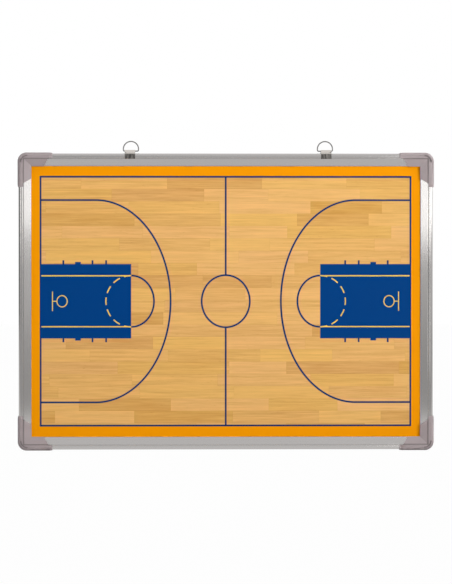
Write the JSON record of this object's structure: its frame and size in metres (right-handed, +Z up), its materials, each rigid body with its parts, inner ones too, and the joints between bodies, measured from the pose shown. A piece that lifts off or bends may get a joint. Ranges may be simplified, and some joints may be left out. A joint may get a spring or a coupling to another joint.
{
  "type": "tactics board",
  "caption": "Framed wall board with a printed basketball court, aluminium rails, moulded corner caps and hanging rings on sliding clips.",
  "frame": {"origin": "centre of the wall plane, the plane of the four corner caps' back faces, level with the middle of the frame", "axes": "+X to the right seen from the front, +Y back towards the wall, +Z up"},
  "size_m": [0.422, 0.0137, 0.3138],
  "materials": {
    "court_print": "printed dry-wipe film, satin gloss",
    "face_steel": "primed sheet steel",
    "fibreboard": "raw fibreboard",
    "back_steel": "galvanised sheet",
    "rail_aluminium": "satin anodised extrusion",
    "cap_plastic": "moulded, fine satin grain",
    "key_steel": "zinc plated bar",
    "screw_steel": "zinc plated",
    "clip_steel": "nickel plated spring sheet",
    "ring_wire": "nickel plated wire"
  },
  "bodies": {
    "board": {"court_film": "court_print", "steel_face": "face_steel", "core_board": "fibreboard", "back_sheet": "back_steel", "rail_top": "rail_aluminium", "rail_bottom": "rail_aluminium", "rail_left": "rail_aluminium", "rail_right": "rail_aluminium", "corner_cap_top_left": "cap_plastic", "corner_cap_top_right": "cap_plastic", "corner_cap_bottom_left": "cap_plastic", "corner_cap_bottom_right": "cap_plastic", "corner_key_top_left": "key_steel", "corner_key_top_right": "key_steel", "corner_key_bottom_left": "key_steel", "corner_key_bottom_right": "key_steel", "cap_screws": "screw_steel"},
    "clip_left": {"hanger_clip_left": "clip_steel"},
    "clip_right": {"hanger_clip_right": "clip_steel"},
    "ring_left": {"hanger_ring_left": "ring_wire"},
    "ring_right": {"hanger_ring_right": "ring_wire"}
  },
  "joints": [
    {"name": "clip_left_slide", "type": "slide", "parent": "board", "child": "clip_left", "axis": [1, 0, 0], "range_m": [-0.07, 0.086]},
    {"name": "clip_right_slide", "type": "slide", "parent": "board", "child": "clip_right", "axis": [1, 0, 0], "range_m": [-0.09, 0.066]},
    {"name": "ring_left_swing", "type": "hinge", "parent": "clip_left", "child": "ring_left", "pos_m": [-0.0963, -0.00685, 0.1525], "axis": [1, 0, 0], "range_deg": [-100, 100]},
    {"name": "ring_right_swing", "type": "hinge", "parent": "clip_right", "child": "ring_right", "pos_m": [0.1005, -0.00685, 0.1525], "axis": [1, 0, 0], "range_deg": [-100, 100]}
  ]
}
